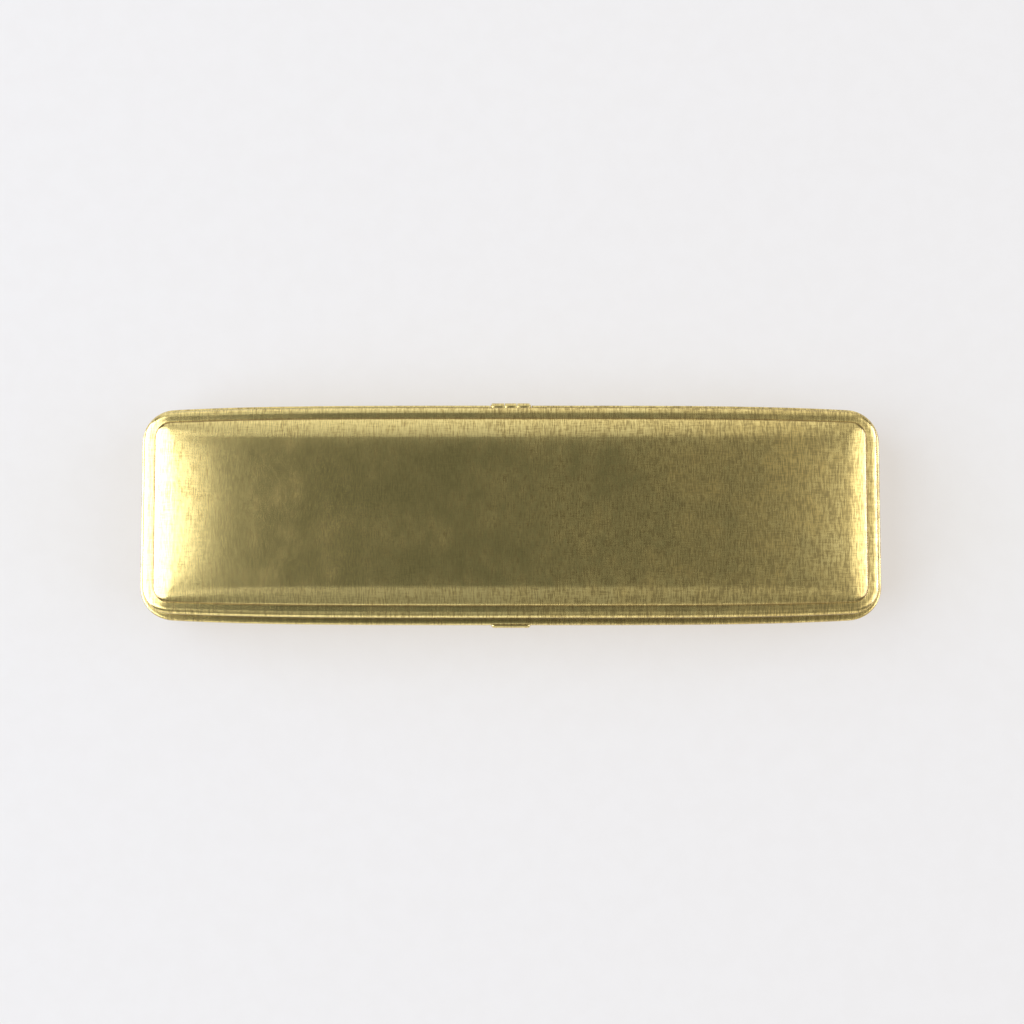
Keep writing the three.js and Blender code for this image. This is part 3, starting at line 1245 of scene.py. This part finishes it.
@dataclass
class NeedlePad:
    """The pad that holds the needles: card, a layer of wadding and a face of felt, in millimetres."""

    sizes: CaseSizes
    felt: bpy.types.Material
    wadding: bpy.types.Material
    card: bpy.types.Material
    inset: float = 6.4
    swell_cap: float = 0.3
    work_scale: float = 0.01
    fibres: int = 2600
    card_edge: float = 0.08
    wadding_edge: float = 0.38
    wadding_ruffle: Point = (0.07, 2.2)
    felt_edge: float = 0.45
    felt_crown: float = 0.1
    felt_headroom: Point = (0.5, 0.04)
    felt_ruffle: Point = (0.035, 1.4)
    fibre: Point = (1.1, 0.012)
    fibre_seed: int = 7

    def slab_rings(
        self, low: float, high: float, edge: float, crown: float, steps: int = 5
    ) -> list[np.ndarray]:
        """Rings of a slab with rounded edges and a crowned top.

        Args:
            low: Z of its underside.
            high: Z of its top at the edge.
            edge: Radius of its edges.
            crown: How far the middle of its top is lifted.
            steps: How finely each edge is rounded.

        Returns:
            The rings, from the middle of the underside round to the middle of the top.
        """
        outline = self.sizes.outline
        inner = outline.ring(self.inset + edge)
        scales = (0.15, 0.35, 0.55, 0.75, 0.9)
        rings = [np.column_stack([inner * k, np.full(len(inner), low)]) for k in scales]
        for start, level in ((-90, low + edge), (0, high - edge)):
            for out, up in arc((0, 0), (edge, edge), start, start + 90, steps):
                plan = outline.ring(self.inset + edge - out)
                rings.append(np.column_stack([plan, np.full(len(plan), level + up)]))
        for k in reversed(scales):
            lift = crown * (1 - k**2)
            rings.append(np.column_stack([inner * k, np.full(len(inner), high + lift)]))
        return rings

    def build_board(self) -> bpy.types.Object:
        """Builds the card.

        Returns:
            The piece.
        """
        low, high = (corner[2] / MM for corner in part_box("pad_board"))
        board = loft("card_board", self.slab_rings(low, high, self.card_edge, 0, steps=2))
        hand_over(board, Half.BASE.body, "card", self.card, "pad_board", sharp=60)
        return board

    def build_wadding(self) -> bpy.types.Object:
        """Builds the layer of wadding, a little uneven at its edge.

        Returns:
            The piece.
        """
        low, high = (corner[2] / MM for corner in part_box("pad_wadding"))
        layer = loft("cotton_wadding", self.slab_rings(low, high, self.wadding_edge, 0))
        ruffle(layer, *self.wadding_ruffle)
        hand_over(layer, Half.BASE.body, "wadding", self.wadding, "pad_wadding", sharp=80)
        return layer

    def build_face(self) -> bpy.types.Object:
        """Builds the felt face, swollen a little by the wadding below it.

        Returns:
            The piece.
        """
        low, high = (corner[2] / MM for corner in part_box("needle_pad"))
        before, after = self.felt_headroom
        face = loft("felt_face", self.slab_rings(low, high - before, self.felt_edge, self.felt_crown))
        inflate(face, self.work_scale, self.swell_cap, high - after)
        ruffle(face, *self.felt_ruffle)
        hand_over(face, Half.BASE.body, "felt", self.felt, "needle_pad", sharp=80)
        return face

    def fibre_tree(self) -> bpy.types.NodeTree:
        """A node tree that scatters short bent fibres over the upper side of a surface.

        Returns:
            The tree, with the inputs Density, Length, Radius, Seed and Finish.
        """
        tree, given = grower("loose_fibres", "Surface", ("Density", "Length", "Radius"))
        facing = add_node(tree, "GeometryNodeInputNormal").outputs["Normal"]
        height = add_node(tree, "ShaderNodeSeparateXYZ", vector=facing).outputs["Z"]
        scatter = add_node(
            tree,
            "GeometryNodeDistributePointsOnFaces",
            mesh=given["Surface"],
            selection=add_node(tree, "FunctionNodeCompare", a=height, b=-0.2).outputs["Result"],
            density=given["Density"],
            seed=given["Seed"],
        )
        strand = add_node(
            tree,
            "GeometryNodeCurveQuadraticBezier",
            resolution=4,
            start=(-0.5, 0, -0.03),
            middle=(0, 0.25, 0.22),
            end=(0.5, 0, -0.03),
        )
        length = given["Length"]
        size = add_node(tree, "ShaderNodeCombineXYZ", x=length, y=length, z=length).outputs["Vector"]
        grown_strand = add_node(
            tree, "GeometryNodeTransform", geometry=strand.outputs["Curve"], scale=size
        )
        section = add_node(
            tree, "GeometryNodeCurvePrimitiveCircle", resolution=3, radius=given["Radius"]
        )
        tube = add_node(
            tree,
            "GeometryNodeCurveToMesh",
            curve=grown_strand.outputs["Geometry"],
            profile_curve=section.outputs["Curve"],
            fill_caps=True,
        )
        place = add_node(
            tree,
            "GeometryNodeInstanceOnPoints",
            points=scatter.outputs["Points"],
            instance=tube.outputs["Mesh"],
        )
        turn = add_node(
            tree,
            "FunctionNodeRandomValue",
            {"data_type": "FLOAT_VECTOR"},
            min=(-0.35, -0.35, 0),
            max=(0.35, 0.35, 2 * math.pi),
            seed=given["Seed"],
        )
        spin = add_node(
            tree,
            "GeometryNodeRotateInstances",
            instances=place.outputs["Instances"],
            rotation=turn.outputs["Value"],
        )
        end_grower(tree, spin.outputs["Instances"], given["Finish"])
        return tree

    def build_fibres(self, face: bpy.types.Object) -> bpy.types.Object:
        """Grows loose fibres on the felt and hands them over.

        Args:
            face: The felt face, already in metres.

        Returns:
            The piece.
        """
        size = node_size("needle_pad") * MM
        length, radius = self.fibre
        values = {
            "Density": self.fibres / (size.x * size.y),
            "Length": length * MM,
            "Radius": radius * MM,
            "Seed": self.fibre_seed,
            "Finish": self.felt,
        }
        fuzz = grown(face, self.fibre_tree(), values, "felt_fibres", keep=True)
        fuzz.data.transform(Matrix.Scale(1 / MM, 4))
        hand_over(fuzz, Half.BASE.body, "felt", self.felt, sharp=180)
        return fuzz

    def build(self) -> list[bpy.types.Object]:
        """Builds the pad's layers.

        Returns:
            The pieces.
        """
        face = self.build_face()
        return [self.build_board(), self.build_wadding(), face, self.build_fibres(face)]


def ruffle(piece: bpy.types.Object, depth: float, grain: float) -> None:
    """Makes a soft surface a little uneven.

    Args:
        piece: The object, in millimetres.
        depth: How far points move at most, in millimetres.
        grain: Size of the bumps, in millimetres.
    """
    texture = bpy.data.textures.new(f"{piece.name}_ruffle", "CLOUDS")
    texture.noise_scale = grain
    texture.noise_depth = 2
    displace = piece.modifiers.new("ruffle", "DISPLACE")
    displace.texture = texture
    displace.texture_coords = "LOCAL"
    displace.strength = 2 * depth
    settle(piece)


def inflate(
    piece: bpy.types.Object,
    scale: float,
    cap: float,
    ceiling: float,
    cell: float = 0.45,
    glued: float = 0.2,
    pressure: float = 4,
    last_frame: int = 12,
) -> None:
    """Swells a pad by cloth simulation, then keeps the result as its mesh.

    Args:
        piece: The object, in millimetres.
        scale: Metres for each of the piece's millimetres while it is simulated.
        cap: How far a point may move, in millimetres.
        ceiling: The height that no point passes, in millimetres.
        cell: Size of the mesh's faces, in millimetres.
        glued: Height above the underside below which points are held, in millimetres.
        pressure: How hard the pad is blown up.
        last_frame: The frame whose shape is kept.
    """
    remesh = piece.modifiers.new("even", "REMESH")
    remesh.mode = "VOXEL"
    remesh.voxel_size = cell
    settle(piece)
    floor = min(vertex.co.z for vertex in piece.data.vertices)
    pinned = [vertex.index for vertex in piece.data.vertices if vertex.co.z < floor + glued]
    piece.vertex_groups.new(name="glued").add(pinned, 1.0, "REPLACE")
    count = len(piece.data.vertices)
    start = np.empty(count * 3)
    piece.data.vertices.foreach_get("co", start)
    piece.data.transform(Matrix.Scale(scale, 4))
    cloth = piece.modifiers.new("cloth", "CLOTH")
    cloth.settings.vertex_group_mass = "glued"
    cloth.settings.use_pressure = True
    cloth.settings.uniform_pressure_force = pressure
    cloth.settings.effector_weights.gravity = 0
    scene = bpy.context.scene
    cloth.point_cache.frame_start, cloth.point_cache.frame_end = 1, last_frame
    for number in range(1, last_frame + 1):
        scene.frame_set(number)
    settle(piece)
    scene.frame_set(1)
    piece.data.transform(Matrix.Scale(1 / scale, 4))
    now = np.empty(count * 3)
    piece.data.vertices.foreach_get("co", now)
    start, now = start.reshape(-1, 3), now.reshape(-1, 3)
    move = now - start
    far = np.linalg.norm(move, axis=1, keepdims=True)
    now = start + move * np.minimum(1, cap / np.maximum(far, 1e-9))
    now[:, 2] = np.clip(now[:, 2], floor, ceiling)
    piece.data.vertices.foreach_set("co", now.ravel())
    piece.data.update()


# ---------------------------------------------------------------- the studio


@dataclass(frozen=True)
class SoftBox:
    """A soft light that faces the case. Angles are in degrees and lengths in metres."""

    name: str
    heading: float
    from_zenith: float
    distance: float
    size: Point
    radiance: float
    upper: float = 1.0
    lower_tint: RGB = (1.0, 1.0, 1.0)

    def place(self, target: Vector) -> bpy.types.Object:
        """Sets up the light.

        Args:
            target: What it faces.

        Returns:
            The light.
        """
        turn, tilt = math.radians(self.heading), math.radians(self.from_zenith)
        away = Vector((math.cos(turn) * math.sin(tilt), math.sin(turn) * math.sin(tilt), math.cos(tilt)))
        data = bpy.data.lights.new(self.name, "AREA")
        data.shape = "RECTANGLE"
        data.size, data.size_y = self.size
        data.energy = self.radiance * math.pi * self.size[0] * self.size[1]
        if self.upper != 1:
            self.add_fade(data)
        lamp = bpy.data.objects.new(self.name, data)
        lamp.location = target + away * self.distance
        lamp.rotation_euler = away.to_track_quat("Z", "Y").to_euler()
        bpy.context.scene.collection.objects.link(lamp)
        return lamp

    def add_fade(self, data: bpy.types.Light) -> None:
        """Dims the light towards its upper edge and tints its lower half.

        Args:
            data: The light.
        """
        data.use_nodes = True
        tree = data.node_tree
        glow = tree.nodes["Emission"]
        spot = add_node(tree, "ShaderNodeNewGeometry").outputs["Parametric"]
        height = add_node(tree, "ShaderNodeSeparateXYZ", vector=spot).outputs["Y"]
        fade = add_node(tree, "ShaderNodeMapRange", value=height, to_min=1.0, to_max=self.upper)
        tree.links.new(fade.outputs["Result"], glow.inputs["Strength"])
        rise = add_node(tree, "ShaderNodeMapRange", value=height, from_max=0.5).outputs["Result"]
        tint = add_node(tree, "ShaderNodeMix", {"data_type": "RGBA"}, factor=rise)
        tint.inputs[MIX_FIRST].default_value = (*self.lower_tint, 1)
        tint.inputs[MIX_SECOND].default_value = (1, 1, 1, 1)
        tree.links.new(tint.outputs[MIX_RESULT], glow.inputs["Color"])


@dataclass
class Studio:
    """Pale ground, soft lights and a camera nearly straight above the case. Lengths are in metres."""

    ground_finish: bpy.types.Material
    ground_size: float = 4.0
    camera_distance: float = 0.376
    camera_tilt: float = 5.6
    aim: RGB = (0.0002, 0.0002, 0.009)
    lens: float = 81.9
    ambient: RGB = (0.1, 0.108, 0.092)
    boxes: list[SoftBox] = field(default_factory=lambda: [
        SoftBox("window_left", 180, 54.2, 0.9, (1.4, 1.27), 5.0, 0.55, lower_tint=(1.0, 1.07, 1.9)),
        SoftBox("reflector_right", 0, 52, 0.9, (1.2, 1.24), 3.9, 0.11, lower_tint=(1.0, 1.06, 1.8)),
        SoftBox("backdrop", 90, 57.5, 1.0, (1.4, 1.2), 1.05, upper=0.3),
        SoftBox("front_glow", -90, 49, 1.0, (1.0, 1.1), 0.15, upper=1.8),
        SoftBox("front_low", -90, 82, 1.0, (1.4, 0.28), 1.1),
    ])

    def build_ground(self) -> None:
        """Lays the ground."""
        half = self.ground_size / 2
        corners = np.array([(-half, -half, 0), (half, -half, 0), (half, half, 0), (-half, half, 0)])
        ground = mesh_object("ground", corners, [(0, 1, 2, 3)])
        ground.data.materials.append(self.ground_finish)
        ground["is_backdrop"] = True

    def build_world(self) -> None:
        """Sets the dim light that comes from everywhere else."""
        world = bpy.data.worlds.new("studio")
        world.use_nodes = True
        world.node_tree.nodes["Background"].inputs["Color"].default_value = (*self.ambient, 1)
        bpy.context.scene.world = world

    def build_camera(self) -> None:
        """Sets up the camera."""
        data = bpy.data.cameras.new("camera")
        data.lens = self.lens
        data.clip_start = 0.01
        camera = bpy.data.objects.new("camera", data)
        tilt = math.radians(self.camera_tilt)
        back = Vector((0, -math.sin(tilt), math.cos(tilt)))
        camera.location = Vector(self.aim) + back * self.camera_distance
        camera.rotation_euler = (tilt, 0, 0)
        bpy.context.scene.collection.objects.link(camera)
        bpy.context.scene.camera = camera

    def build(self) -> None:
        """Builds the whole studio."""
        bpy.context.scene.view_settings.view_transform = "Standard"
        self.build_ground()
        self.build_world()
        for box in self.boxes:
            box.place(Vector(self.aim))
        self.build_camera()


def write_sizes() -> None:
    """Turns the CAD box and the visual model's box into plain lists; nothing is written."""
    boxes = {"cad": CAD_BOX, "visual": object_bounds()}
    boxes = {name: [list(corner) for corner in box] for name, box in boxes.items()}


def main() -> None:
    """Builds the case and its studio."""
    logging.basicConfig(level=logging.INFO, format="%(name)s: %(message)s")
    sizes = CaseSizes.from_frame()
    shell = BrushedBrass("aged_sheet_brass").make()
    fitting = BrushedBrass("polished_brass", clean=(0.86, 0.70, 0.30), bloom_amount=0.35, dull=0.24)
    PressedPan(Half.LID, sizes, 5.5, 1.2, shell).build("lid_pan", "lid_shell")
    PressedPan(Half.BASE, sizes, 4.6, 0.0, shell).build("base_pan", "base_shell")
    brass = fitting.make()
    GuideCollar(sizes, brass).build()
    BarrelHinge(sizes, brass).build()
    ThumbTab(brass).build()
    felt = WoolFelt("wool_felt").make()
    cotton = WoolFelt("cotton_wadding", light=(0.9, 0.89, 0.86), dark=(0.78, 0.76, 0.72), depth=2e-4)
    NeedlePad(sizes, felt, cotton.make(), GreyCard("pulp_card").make()).build()
    Studio(LightTable("white_sheet").make()).build()
    write_sizes()


if __name__ == "__main__":
    main()
